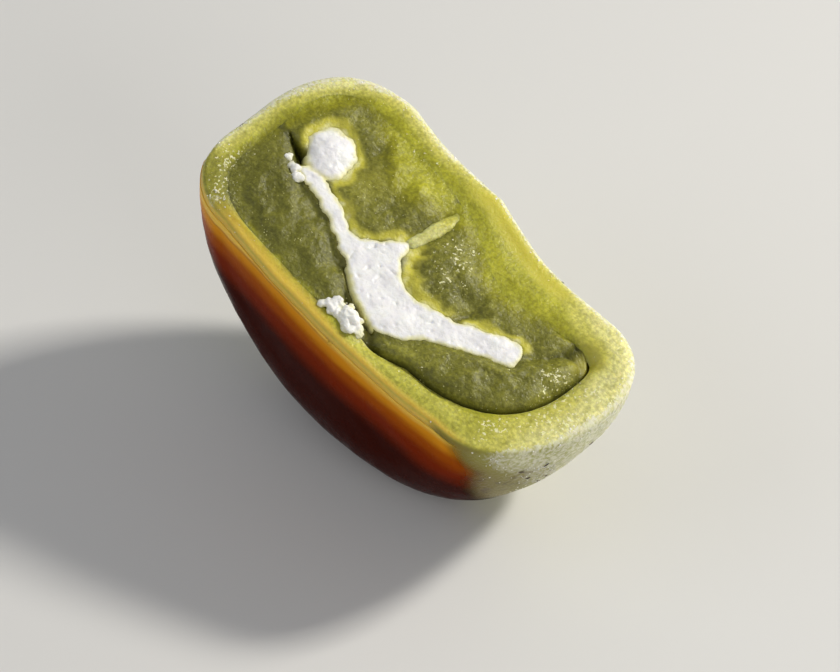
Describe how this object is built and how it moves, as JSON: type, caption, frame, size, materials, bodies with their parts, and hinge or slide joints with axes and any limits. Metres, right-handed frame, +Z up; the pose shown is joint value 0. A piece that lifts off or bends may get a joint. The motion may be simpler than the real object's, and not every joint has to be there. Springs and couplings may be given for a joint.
{
  "type": "mochi rice cake",
  "caption": "Half of a filled matcha rice cake, cut through the middle and lying on its round flank, with a green skin, folded green paste and a cream core.",
  "frame": {"origin": "middle of the bounding box in plan, on the surface that the half rests on", "axes": "+X runs along the cut, the longest way, and points to the end that dips; +Y points to the domed top of the cake; +Z is up, out of the cut face"},
  "size_m": [0.0464, 0.0248, 0.0293],
  "materials": {
    "rice_skin": "soft chewy rice dough, translucent, dusted with starch on its dome and glazed with caramel on its base",
    "matcha_paste": "moist fine-grained paste",
    "cream": "smooth white cream"
  },
  "bodies": {
    "root": {"mochi_skin": "rice_skin", "matcha_paste": "matcha_paste", "cream_band": "cream"}
  },
  "joints": []
}
